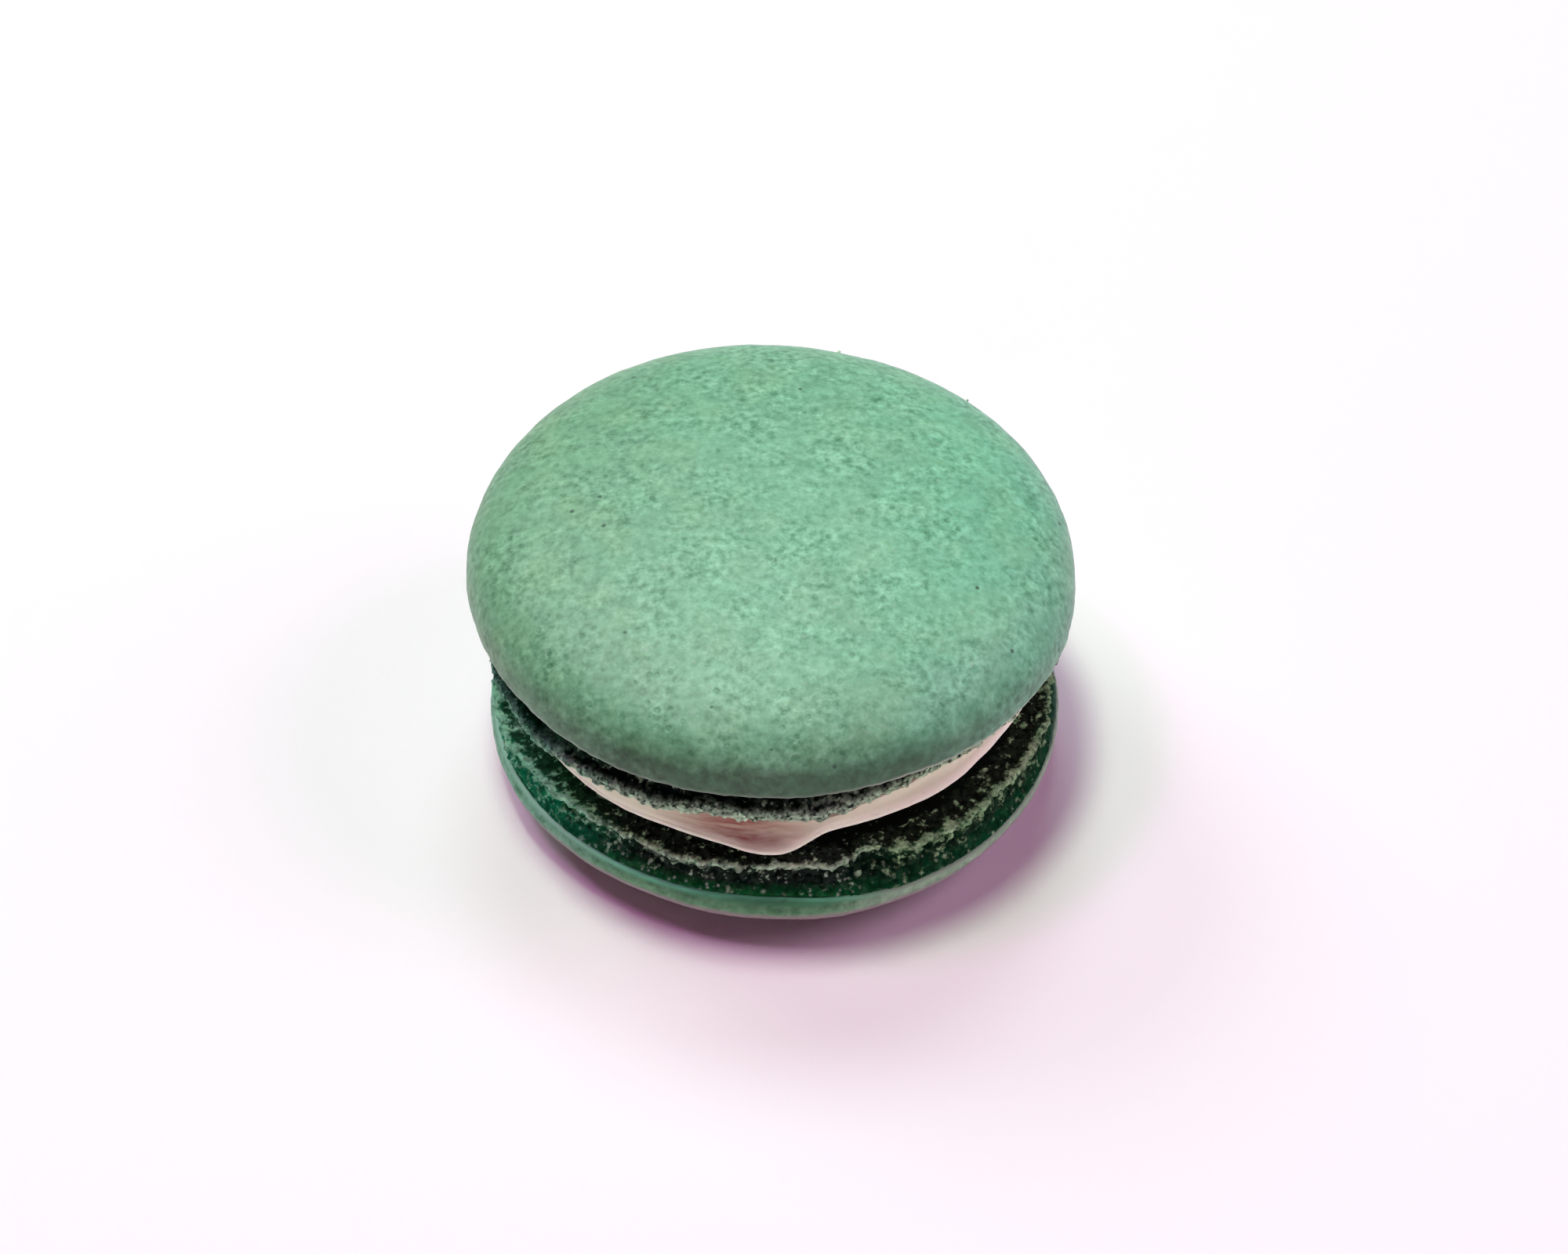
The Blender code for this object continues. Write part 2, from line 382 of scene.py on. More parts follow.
def rim_radius(shell, foot, angle):
    """Radius of the foot's rim, which wanders, swells and is toothed."""
    waves = 0.4 * sum_of_waves(angle + shell.phase, FOOT_WAVES)
    folds = 0.35 * sum_of_waves(angle, RUFFLES)
    teeth = sum_of_waves(angle, [(count, size, count * shell.seed) for count, size in FOOT_TEETH])
    teeth *= foot.teeth
    world = shell.side * angle
    lobes = sum(
        reach * flank(world, math.radians(at), (math.radians(width), math.radians(width)))
        for at, width, reach in foot.lobes
    )
    return foot.rim + waves + folds + teeth + lobes


def wall_radius(shell, foot, angle, share):
    """Radius of the foot's wall at that share of the way from the groove (0) to the rim (1)."""
    wander = 0.05 * np.sin(5 * angle + shell.seed) + 0.04 * np.sin(13 * angle + 2 * shell.seed)
    level = np.clip((share + wander - 1 + 1.3 * foot.band) / (0.6 * foot.band), 0, 1)
    recess = foot.recess * across(shell.side * angle, *foot.depth)
    inset = recess * (1 - level * level * (3 - 2 * level))
    at, width, reach = foot.ridge
    widths = (math.radians(width), math.radians(width))
    strength = 0.3 + flank(shell.side * angle, math.radians(at), widths)
    ridge = reach * strength * bump(share, 0.5 + 2 * wander, 0.10)
    wall = rim_radius(shell, foot, angle) - inset + np.minimum(ridge, inset)
    if not foot.flare:
        return wall
    return wall + flare(share) * (crest_place(shell, angle)[0] - 0.02 - wall)


def flare(share):
    """How far the wall has come out to meet the skin, at that share of the way from it."""
    return np.clip(1 - (share - 0.03) / 0.42, 0, 1) ** 1.5


def wall_height(shell, foot, angle, share):
    """Height of the foot's wall at that share of the way from the skin to the rim."""
    top = crest_place(shell, angle)[1] if foot.flare else shell.foot_height
    return top * (1 - share) + 0.08 * share


def ball():
    """Points and triangles of a small ball of radius 1."""
    builder = bmesh.new()
    bmesh.ops.create_icosphere(builder, subdivisions=2, radius=1)
    points = np.array([v.co for v in builder.verts])
    faces = np.array([[v.index for v in face.verts] for face in builder.faces])
    builder.free()
    return points, faces


def scattered_balls(random, centres, sizes, stretch=0.35):
    """Points and triangles of many balls, each stretched and turned its own way."""
    points, faces = ball()
    count = len(centres)
    turns = np.array([Quaternion(q).normalized().to_matrix() for q in random.normal(size=(count, 4))])
    shapes = np.asarray(sizes)[:, None] * (1 + stretch * random.uniform(-1, 1, (count, 3)))
    shaped = points[None] * shapes[:, None, :]
    placed = np.einsum("nij,nkj->nki", turns, shaped) + np.asarray(centres)[:, None, :]
    shifted = faces[None] + (np.arange(count) * len(points))[:, None, None]
    return placed.reshape(-1, 3), shifted.reshape(-1, 3)


def around(radius, angle, height):
    """Points from cylinder coordinates."""
    return np.stack([radius * np.cos(angle), radius * np.sin(angle), height + 0 * radius], axis=-1)


def wrap_faces(rows, columns):
    """Quads from a turned grid's last row to its first."""
    last = (rows - 1) * columns + np.arange(columns)
    beside = (rows - 1) * columns + (np.arange(columns) + 1) % columns
    return np.stack([last, last % columns, beside % columns, beside], axis=1)


def foot_core(shell, foot):
    """The foot's plain ring, a closed tube under the crumbs."""
    angles = np.linspace(0, TURN, FOOT_COLUMNS, endpoint=False)
    shares = np.linspace(0.0, 1, 18)[:, None]
    under = FOOT_CORE * (1 - foot.flare * flare(shares))
    outer = wall_radius(shell, foot, angles, shares) - under
    wall = around(outer, angles, wall_height(shell, foot, angles, shares) + 0 * outer)
    inner = [around(np.full(FOOT_COLUMNS, FOOT_INSIDE), angles, z) for z in (0.08, shell.foot_height)]
    rows = np.concatenate([wall, np.array(inner)])
    count = len(rows)
    closed = np.concatenate([grid_faces(count, FOOT_COLUMNS), wrap_faces(count, FOOT_COLUMNS)])
    return rows.reshape(-1, 3), closed


def streaks(points, seed):
    """From 0 to 1: patches at those points, drawn out along the rim."""
    return np.clip(0.45 + 1.6 * lumps(np.asarray(points) * [1, 1, 2.5] + seed, 1.5, 3), 0, 1)


def foot_crumbs(shell, foot, random):
    """Centres, sizes and paleness of the foot's crumbs: in its rim, on its wall, on its flat face."""
    angle = random.uniform(0, TURN, foot.rim_crumbs)
    share = random.uniform(1 - foot.band, 1.02, foot.rim_crumbs)
    rim_size = foot.grain * (0.10 + 0.17 * random.uniform(0, 1, foot.rim_crumbs) ** 1.5)
    out = wall_radius(shell, foot, angle, share) - 0.6 * rim_size
    out += random.normal(0, 0.07, foot.rim_crumbs)
    rim = around(out, angle, wall_height(shell, foot, angle, share) + 0.04)
    pale_band = foot.band * across(shell.side * angle, *foot.pale_part)
    up = np.clip((share - 1 + pale_band) / (0.7 * pale_band), 0, 1)
    rim_pale = up * np.where(random.uniform(0, 1, foot.rim_crumbs) < foot.dull, 0.2, 1)
    rim_pale *= random.uniform(0.55, 1, foot.rim_crumbs)
    angle = random.uniform(0, TURN, foot.wall_crumbs)
    share = random.uniform(0.0, 1 - foot.band, foot.wall_crumbs)
    wall_size = 0.09 + 0.17 * random.uniform(0, 1, foot.wall_crumbs) ** 2
    out = wall_radius(shell, foot, angle, share) + 0.4 * wall_size * random.uniform(-1, 1, len(angle))
    out -= foot.flare * flare(share) * (0.10 + wall_size)
    wall = around(out, angle, wall_height(shell, foot, angle, share))
    specks = across(shell.side * angle, *foot.wall_specks)
    speck = random.uniform(0, 1, foot.wall_crumbs) < 2 * specks * streaks(wall, shell.seed)
    wall_pale = np.where(speck, random.uniform(0.25, 0.8, foot.wall_crumbs), 0.03)
    angle = random.uniform(0, TURN, foot.face_crumbs)
    face_size = 0.09 + 0.15 * random.uniform(0, 1, foot.face_crumbs) ** 1.5
    near = random.uniform(0, 1, foot.face_crumbs) ** 0.7
    out = FOOT_INSIDE + (rim_radius(shell, foot, angle) - 0.25 - FOOT_INSIDE) * near
    face = around(out, angle, 0.14 + random.normal(0, 0.06, foot.face_crumbs))
    specks = across(shell.side * angle, *foot.face_specks) * near**2
    speck = random.uniform(0, 1, foot.face_crumbs) < 2 * specks * streaks(face, shell.seed)
    face_pale = np.where(speck, random.uniform(0.2, 0.85, foot.face_crumbs), 0.03)
    return (
        np.concatenate([rim, wall, face]),
        np.concatenate([rim_size, wall_size, face_size]),
        np.concatenate([rim_pale, wall_pale, face_pale]),
    )


def nearest_pale(points, centres, sizes, pales):
    """For each point, how pale the crumb that it belongs to is."""
    tree = kdtree.KDTree(len(centres))
    for index, centre in enumerate(centres):
        tree.insert(centre, index)
    tree.balance()
    found = [tree.find(point)[1:] for point in points]
    index = np.array([f[0] for f in found])
    away = np.array([f[1] for f in found]) / sizes[index]
    return pales[index] * np.clip((1.7 - away) / 0.5, 0, 1)


def remeshed(points, faces, voxel):
    """The outer skin of overlapping closed shapes, as points and quads."""
    mesh = bpy.data.meshes.new("rough")
    mesh.from_pydata(points.tolist(), [], faces)
    helper = bpy.data.objects.new("rough", mesh)
    bpy.context.scene.collection.objects.link(helper)
    remesh = helper.modifiers.new("remesh", "REMESH")
    remesh.mode = "VOXEL"
    remesh.voxel_size = voxel
    smooth = helper.modifiers.new("smooth", "SMOOTH")
    smooth.factor = 0.5
    smooth.iterations = 2
    bpy.context.view_layer.update()
    evaluated = helper.evaluated_get(bpy.context.evaluated_depsgraph_get())
    made = bpy.data.meshes.new_from_object(evaluated)
    found = np.zeros(len(made.vertices) * 3)
    made.vertices.foreach_get("co", found)
    quads = [tuple(face.vertices) for face in made.polygons]
    bpy.data.objects.remove(helper)
    bpy.data.meshes.remove(made)
    bpy.data.meshes.remove(mesh)
    return found.reshape(-1, 3), quads


def without_hidden(points, quads, shell):
    """Leaves out the foot's inner wall and its top, which lie inside the macaron."""
    radius = np.hypot(points[:, 0], points[:, 1])
    inner = radius < FOOT_INSIDE + 0.12
    covered = (points[:, 2] > shell.foot_height - 0.12) & (radius < shell.foot_radius - 1.5)
    kept = ~(inner | covered)
    numbers = np.cumsum(kept) - 1
    quads = np.array(quads)
    return points[kept], numbers[quads[kept[quads].all(axis=1)]].tolist()


def largest_part(points, quads):
    """Leaves out everything that doesn't hang together with the largest part."""
    quads = np.array(quads)
    labels = np.arange(len(points))
    while True:
        lowest = labels.copy()
        np.minimum.at(lowest, quads.ravel(), np.repeat(labels[quads].min(axis=1), 4))
        lowest = lowest[lowest]
        if (lowest == labels).all():
            break
        labels = lowest
    kept = labels == np.bincount(labels).argmax()
    numbers = np.cumsum(kept) - 1
    return points[kept], numbers[quads[kept[quads].all(axis=1)]].tolist()


def make_foot(name, shell, foot, place, material):
    """The frilly, crumbly ring under the skin's edge."""
    random = np.random.default_rng(shell.seed)
    core_points, core_faces = foot_core(shell, foot)
    centres, sizes, pales = foot_crumbs(shell, foot, random)
    crumb_points, crumb_faces = scattered_balls(random, centres, sizes)
    points = np.concatenate([core_points, crumb_points])
    faces = core_faces.tolist() + (crumb_faces + len(core_points)).tolist()
    points, quads = remeshed(points, faces, FOOT_VOXEL)
    points, quads = largest_part(*without_hidden(points, quads, shell))
    radius = np.hypot(points[:, 0], points[:, 1])
    angle = np.arctan2(points[:, 1], points[:, 0])
    deep = (rim_radius(shell, foot, angle) + 0.05 - radius) / foot.recess
    # The face mark picks out the flat face between the shells, which the material paints in shade.
    face = np.clip((0.55 - points[:, 2]) / 0.3, 0, 1) * np.clip((deep - 0.3) / 0.5, 0, 1)
    # The low mark picks out the wall's lower part, which the material paints a dark saturated green as shade.
    low = foot.flare * np.clip((points[:, 2] / shell.foot_height - 0.76) / 0.18, 0, 1)
    edge = bump(points[:, 2], 0.10, 0.17) * np.clip(1.5 - deep * foot.recess / 0.25, 0, 1)
    line = edge * (0.35 + 0.65 * streaks(points, shell.seed))
    pale = np.maximum(nearest_pale(points, centres, sizes, pales), line)
    near_rim = np.clip(1.15 - points[:, 2] / shell.foot_height, 0.2, 1) * (1 - 0.7 * face)
    mottle = across(shell.side * angle, *foot.mottles) * near_rim
    marks = {"pale": pale, "face": face, "low": low, "mottle": mottle}
    return mesh_piece(name, points, quads, place, material, marks)


# Crumbs ---------------------------------------------------------------------------------------------

# Each crumb: place round the shell in degrees, share of the way along the skin's section, size in mm.
TOP_CRUMBS = (
    (76, 0.75, 0.20), (72, 0.77, 0.16), (46, 0.78, 0.20), (12, 0.84, 0.20), (-171, 0.90, 0.30),
    (-166, 0.93, 0.30), (118, 0.80, 0.20), (152, 0.85, 0.24), (-20, 0.90, 0.20), (-52, 0.93, 0.22),
)
BOTTOM_CRUMBS = (
    (-91, 0.66, 0.24), (-85.5, 0.64, 0.34), (-82.5, 0.66, 0.28), (-60, 0.72, 0.18), (-128, 0.70, 0.18),
    (40, 0.72, 0.26), (95, 0.70, 0.24), (160, 0.74, 0.22), (-155, 0.88, 0.22),
)
CRUMB_VOXEL = 0.07


def make_crumbs(name, shell, crumbs, place, material):
    """Small loose crumbs that stick to the skin."""
    random = np.random.default_rng(shell.seed + 1)
    path = spaced(skin_path(shell), SKIN_ROWS)
    centres, sizes = [], []
    for degrees, share, size in crumbs:
        angle = math.radians(degrees) * shell.side
        radius, height = path[int(share * (SKIN_ROWS - 1))]
        radius += sum_of_waves(angle, shell.waves) - 0.5 * size
        middle = around(np.array([radius]), angle, height)[0]
        centres += list(middle + random.normal(0, 0.45 * size, (6, 3)))
        sizes += list(size * random.uniform(0.25, 0.55, 6))
    points, faces = scattered_balls(random, centres, sizes)
    points, quads = remeshed(points, faces.tolist(), CRUMB_VOXEL)
    marks = {"pale": np.full(len(points), 0.8)}
    return mesh_piece(name, points, quads, place, material, marks)


# Inner faces and cream ------------------------------------------------------------------------------

FACE_ROWS = 60
FACE_COLUMNS = 420
FACE_RADII = (19.2, 12.0)


def make_face(name, shell, place, material):
    """The shell's rough flat face, which shows between the foot's rim and the cream."""
    radii = np.linspace(FACE_RADII[0], FACE_RADII[1], FACE_ROWS)
    path = np.stack([radii, np.full(FACE_ROWS, 0.08)], axis=1)
    grid, _ = turned_points(path, FACE_COLUMNS)
    seeded = grid + 3 * shell.seed
    relief = 0.12 * lumps(seeded, 0.6, 3) + 0.06 * lumps(seeded, 2.5, 2)
    grid[..., 2] -= np.clip(relief, -0.1, 0.2)
    faces = grid_faces(FACE_ROWS, FACE_COLUMNS)
    return mesh_piece(name, grid, faces, place, material)


CREAM_COLUMNS = 640
LIP_ROUND = 0.4
CREAM_UNEVEN = ((4, 0.10, 0.3), (9, 0.07, 2.0), (15, 0.04, 0.9))


def lip_share(angle):
    """Height of the lip at that angle, as a share of the space between the shells."""
    turned = (np.asarray(angle) + math.pi) % TURN - math.pi
    into = 0.5 + 0.5 * np.tanh((turned - SAG_ENDS[0]) / SAG_SOFT[0])
    out = 0.5 - 0.5 * np.tanh((turned - SAG_ENDS[1]) / SAG_SOFT[1])
    high = LIP_SHARE + SIDE_RISE * np.cos(angle) ** 4
    lip = high + into * out * (SAG_SHARE - high)
    return lip - DRIP_SHARE * flank(angle, DRIP_ANGLE, DRIP_WIDTHS)


def cream_ceiling(x, y):
    """Height of the top shell's tilted base over (x, y)."""
    normal = TILT.col[2]
    x, y = x - AXIS.x - TOP_SHIFT, y - AXIS.y
    return TOP_BASE_HEIGHT - (normal.x * x + normal.y * y) / normal.z


def cream_grid():
    """The cream's points: down its hollow side, round its lip, back under it to the bottom shell."""
    angles = np.linspace(0, TURN, CREAM_COLUMNS, endpoint=False)
    drip = flank(angles, DRIP_ANGLE, DRIP_WIDTHS)
    swell = DRIP_REACH * drip + sum_of_waves(angles, CREAM_UNEVEN)
    top = rim_radius(TOP, TOP_FOOT, angles) - across(angles, 0.1, 0.1, 0.4)
    ceiling = cream_ceiling(top * np.cos(angles) + AXIS.x, top * np.sin(angles) + AXIS.y) + 0.1
    space = ceiling - BOTTOM_BASE_HEIGHT
    lip = LIP_RADIUS - LIP_ROUND + swell
    lip_height = BOTTOM_BASE_HEIGHT + lip_share(angles) * space + LIP_ROUND
    radii, heights = [np.full_like(top, 16.0)], [ceiling + 0.1]
    start = math.radians(40)
    down_to = (lip + LIP_ROUND * math.cos(start), lip_height + LIP_ROUND * math.sin(start))
    for t in np.linspace(0, 1, 24)[:-1]:
        hollow = (0.45 + 0.5 * drip) * math.sin(math.pi * t**1.3) ** 1.2
        radii.append(top + (down_to[0] - top) * t - hollow)
        heights.append(ceiling + (down_to[1] - ceiling) * t)
    for turn in np.linspace(start, math.radians(-110), 14):
        radii.append(lip + LIP_ROUND * math.cos(turn))
        heights.append(lip_height + LIP_ROUND * math.sin(turn))
    under, base = radii[-1], heights[-1]
    for t in np.linspace(0, 1, 16)[1:]:
        radii.append(under + (CREAM_FOOT_RADIUS - under) * t)
        heights.append(BOTTOM_BASE_HEIGHT - 0.2 * t + (base - BOTTOM_BASE_HEIGHT) * (1 - t) ** 1.6)
    radii.append(np.full_like(top, 15.0))
    heights.append(np.full_like(top, BOTTOM_BASE_HEIGHT - 0.2))
    radii, heights = np.array(radii), np.array(heights)
    x, y = radii * np.cos(angles) + AXIS.x, radii * np.sin(angles) + AXIS.y
    return np.stack([x, y, heights], axis=-1), angles


def make_cream(name, material):
    """The filling: a smooth band whose lip overhangs the bottom shell and drips in front."""
    grid, angles = cream_grid()
    rows = np.arange(len(grid))[:, None] + 0 * angles
    body = np.clip((rows - 1) / 4, 0, 1)
    relief = 0.05 * lumps(grid * [1, 1, 1.6], 2.6, 2) + 0.015 * lumps(grid, 0.7, 2)
    grid += grid_normals(grid) * (relief * body)[..., None]
    hollow = flank(angles, math.radians(-97), (math.radians(16), math.radians(14)))
    left = flank(angles, math.radians(-122), (math.radians(30), math.radians(18)))
    marks = {
        # Painted highlight: the lip's rows are coloured lighter.
        "lip": np.clip((rows - 20) / 4, 0, 1) + 0 * angles,
        # Painted shade: the hollow above the lip, mostly in front, is coloured dark pink.
        "hollow": np.clip((28 - rows) / 7, 0, 1) * (0.04 + 0.96 * hollow),
        "stain": np.clip(1 - (rows - 1) / (4 + 10 * left), 0, 1) * (0.4 + 0.6 * left),
    }
    faces = grid_faces(*grid.shape[:2])
    return mesh_piece(name, grid, faces, Matrix(), material, marks)


# Materials ------------------------------------------------------------------------------------------


def node(tree, kind, inputs, **settings):
    """A shader node: inputs by socket name or number, each a value or another node's output."""
    made = tree.nodes.new(kind)
    for setting, value in settings.items():
        setattr(made, setting, value)
    for socket, value in inputs.items():
        if isinstance(value, bpy.types.NodeSocket):
            tree.links.new(value, made.inputs[socket])
        else:
            made.inputs[socket].default_value = value
    return made


def new_material(name):
    """A material with its tree, its Principled shader, and object coordinates in mm."""
    made = bpy.data.materials.new(name)
    made.use_nodes = True
    tree = made.node_tree
    shader = tree.nodes["Principled BSDF"]
    place = tree.nodes.new("ShaderNodeTexCoord").outputs["Object"]
    scaled = node(tree, "ShaderNodeVectorMath", {0: place, "Scale": 1 / MM}, operation="SCALE")
    return made, tree, shader, scaled.outputs[0]


def math_node(tree, operation, *values, clamp=False):
    """Output of a Math node."""
    inputs = dict(enumerate(values))
    return node(tree, "ShaderNodeMath", inputs, operation=operation, use_clamp=clamp).outputs[0]


def mapped(tree, value, low, high, to_low=0.0, to_high=1.0, smooth=True):
    """The value, carried from the range low-high to to_low-to_high, and held inside it."""
    inputs = {"Value": value, "From Min": low, "From Max": high, "To Min": to_low, "To Max": to_high}
    kind = "SMOOTHSTEP" if smooth else "LINEAR"
    return node(tree, "ShaderNodeMapRange", inputs, interpolation_type=kind).outputs["Result"]


def mixed(tree, factor, first, second, blend="MIX"):
    """Colour output of a Mix node."""
    made = node(tree, "ShaderNodeMix", {}, data_type="RGBA", blend_type=blend)
    sockets = {s.identifier: s for s in made.inputs}
    wanted = {"Factor_Float": factor, "A_Color": first, "B_Color": second}
    for identifier, value in wanted.items():
        if isinstance(value, bpy.types.NodeSocket):
            tree.links.new(value, sockets[identifier])
        elif identifier == "Factor_Float":
            sockets[identifier].default_value = value
        else:
            sockets[identifier].default_value = (*value, 1)
    return next(s for s in made.outputs if s.identifier == "Result_Color")


def noise_value(tree, place, size, detail=2.0, roughness=0.55):
    """Noise from 0 to 1 whose largest features are about that size in mm."""
    inputs = {"Vector": place, "Scale": 1 / size, "Detail": detail, "Roughness": roughness}
    return node(tree, "ShaderNodeTexNoise", inputs).outputs["Fac"]


def spots(tree, place, cell, radius, share):
    """1 in round spots of that radius, one in each cell of that size, in that share of the cells."""
    inputs = {"Vector": place, "Scale": 1 / cell}
    cells = node(tree, "ShaderNodeTexVoronoi", inputs)
    spot = mapped(tree, cells.outputs["Distance"], 0.6 * radius / cell, 1.3 * radius / cell, 1, 0)
    parts = node(tree, "ShaderNodeSeparateColor", {"Color": cells.outputs["Color"]})
    chosen = math_node(tree, "LESS_THAN", parts.outputs[0], share)
    return math_node(tree, "MULTIPLY", spot, chosen)


def mark(tree, name):
    """The value that a piece's mesh carries on its points under that name."""
    return node(tree, "ShaderNodeAttribute", {}, attribute_name=name).outputs["Fac"]


SKIN_LEFT = (0.143, 0.343, 0.187)
SKIN_MIDDLE = (0.165, 0.419, 0.246)
SKIN_RIGHT = (0.157, 0.464, 0.276)
SKIN_FLECK = (0.26, 0.42, 0.32)
# Painted highlight: a light line along each skin's crest, on the left, in front and on the right; dull in front
# on the top shell.
TOP_CREST_HIGHLIGHT = ((0.42, 0.52, 0.44), (0.20, 0.25, 0.20), (0.52, 0.58, 0.48))
BOTTOM_CREST_HIGHLIGHT = ((0.36, 0.70, 0.50), (0.24, 1.0, 0.52), (0.30, 0.46, 0.30))
BAND_LEFT = (0.15, 0.38, 0.24)
BAND_FRONT = (0.12, 0.34, 0.16)
BAND_RIGHT = (0.28, 0.48, 0.30)
# Painted light: lighter greens for the upward-facing ledge of the bottom skin.
LEDGE_LIGHT_LEFT = (0.15, 0.44, 0.27)
LEDGE_LIGHT_FRONT = (0.11, 0.46, 0.20)
LEDGE_LIGHT_RIGHT = (0.22, 0.52, 0.28)
# Painted shade for the skin's curl into the groove.
SKIN_JOIN_SHADE = (0.003, 0.090, 0.036)
# Painted reflection of the pink floor shade on the bottom shell's underside.
UNDERSIDE_FLOOR_REFLECTION = (0.300, 0.260, 0.260)
TOP_GLOSS = 0.55
BOTTOM_GLOSS = 0.25
SKIN_WARM = (1.07, 0.98, 0.96)
GRAIN_SHARES = (1.2, 0.85, 1.05)  # how strongly the grain shows in red, green and blue
# Painted shade colour, multiplied into the top skin's front shoulder.
SHOULDER_SHADE = (0.16, 0.26, 0.17)
PORE = (0.40, 0.60, 0.50)
PINHOLE = (0.02, 0.07, 0.04)


def skin_material(name, crest_highlight_colors, gloss):
    """Baked almond meringue: mint green, yellower to the left, mottled, with pores and pinholes, and painted
    light: shade on the front shoulder and in the groove, a highlight along the crest, a lit ledge and a floor
    reflection under the bottom shell.
    """
    made, tree, shader, place = new_material(name)
    across = node(tree, "ShaderNodeSeparateXYZ", {0: place}).outputs[0]
    color = mixed(tree, mapped(tree, across, -20, 2), SKIN_LEFT, SKIN_MIDDLE)
    color = mixed(tree, mapped(tree, across, 2, 20), color, SKIN_RIGHT)
    warm = mapped(tree, noise_value(tree, place, 4.0, 2), 0.45, 0.65)
    color = mixed(tree, warm, color, mixed(tree, 1.0, color, SKIN_WARM, "MULTIPLY"))
    swing = mapped(tree, noise_value(tree, place, 3.5, 1), 0.35, 0.65, 0.7, 1.3)
    fine = noise_value(tree, place, 0.6, 3, 0.6)
    grain = mapped(tree, fine, 0.3, 0.7, -0.38, 0.38, False)
    patches = mapped(tree, noise_value(tree, place, 2.0, 3), 0.3, 0.7, 0.925, 1.085)
    swung = math_node(tree, "MULTIPLY", grain, swing)
    shades = [math_node(tree, "MULTIPLY_ADD", swung, share, patches) for share in GRAIN_SHARES]
    shade = node(tree, "ShaderNodeCombineColor", dict(enumerate(shades))).outputs[0]
    color = mixed(tree, 1.0, color, shade, "MULTIPLY")
    pores = math_node(tree, "MULTIPLY", spots(tree, place, 0.8, 0.24, 0.4), swing)
    pored = mixed(tree, 1.0, color, PORE, "MULTIPLY")
    color = mixed(tree, math_node(tree, "MULTIPLY", pores, 0.4), color, pored)
    flecks = math_node(tree, "MULTIPLY", spots(tree, place, 1.1, 0.17, 0.3), 0.35)
    color = mixed(tree, flecks, color, SKIN_FLECK)
    # Painted shade: the lower shoulder, mostly in front, darkened with a ragged edge.
    shoulder_shade = mixed(tree, 1.0, color, SHOULDER_SHADE, "MULTIPLY")
    ragged = mapped(tree, noise_value(tree, place, 1.6, 3), 0.3, 0.7, -0.25, 0.25, False)
    dimmed = math_node(tree, "ADD", mark(tree, "shoulder_shade"), ragged)
    dimmed = math_node(tree, "MULTIPLY", dimmed, 1.4)
    color = mixed(tree, math_node(tree, "MULTIPLY", mark(tree, "shoulder_shade"), dimmed, clamp=True), color, shoulder_shade)
    band = mixed(tree, 1.0, from_left(tree, place, BAND_LEFT, BAND_FRONT, BAND_RIGHT), shade, "MULTIPLY")
    color = mixed(tree, mark(tree, "band"), color, band)
    # Painted light on the bottom skin's upward-facing ledge.
    ledge = from_left(tree, place, LEDGE_LIGHT_LEFT, LEDGE_LIGHT_FRONT, LEDGE_LIGHT_RIGHT)
    color = mixed(tree, mark(tree, "ledge"), color, ledge)
    # Painted reflection: grey-pink ring on the underside of the bottom shell.
    color = mixed(tree, mark(tree, "under"), color, UNDERSIDE_FLOOR_REFLECTION)
    # Painted shade in the groove past the crest.
    color = mixed(tree, mark(tree, "join_shade"), color, SKIN_JOIN_SHADE)
    # Painted highlight along the skin's crest line.
    crest = from_left(tree, place, *crest_highlight_colors)
    color = mixed(tree, math_node(tree, "MULTIPLY", mark(tree, "crest"), 0.85), color, crest)
    holes = spots(tree, place, 2.1, 0.17, 0.26)
    color = mixed(tree, math_node(tree, "MULTIPLY", holes, 0.85), color, PINHOLE)
    tree.links.new(color, shader.inputs["Base Color"])
    sunk = math_node(tree, "MULTIPLY_ADD", holes, 1.5, pores)
    height = math_node(tree, "SUBTRACT", fine, sunk)
    dent = node(tree, "ShaderNodeBump", {"Height": height, "Strength": 0.6, "Distance": 0.00005})
    tree.links.new(dent.outputs[0], shader.inputs["Normal"])
    shader.inputs["Roughness"].default_value = 0.5
    shader.inputs["Specular IOR Level"].default_value = gloss
    shader.inputs["Sheen Weight"].default_value = 0.1
    shader.inputs["Sheen Roughness"].default_value = 0.35
    return made


def grey(tree, value):
    """A grey colour of that brightness."""
    return node(tree, "ShaderNodeCombineColor", {0: value, 1: value, 2: value}).outputs[0]


# Meringue crumb and its recesses, on the left, in front and on the right; the recess and face colours are
# painted shade, near black in front, where shade falls.
TOP_FRILL = ((0.22, 0.50, 0.34), (0.56, 0.80, 0.55), (0.50, 0.72, 0.46))
BOTTOM_FRILL = ((0.26, 0.64, 0.40), (0.54, 0.80, 0.54), (0.34, 0.60, 0.30))
TOP_RECESS_SHADE = ((0.002, 0.040, 0.016), (0.001, 0.008, 0.005), (0.002, 0.012, 0.006))
BOTTOM_RECESS_SHADE = ((0.002, 0.160, 0.065), (0.001, 0.008, 0.006), (0.001, 0.022, 0.008))
# Painted shade low on the bottom foot's wall: a dark saturated green.
LOW_RECESS_SHADE = ((0.002, 0.100, 0.034), (0.004, 0.120, 0.028), (0.002, 0.055, 0.017))
TOAST = (0.46, 0.54, 0.36)
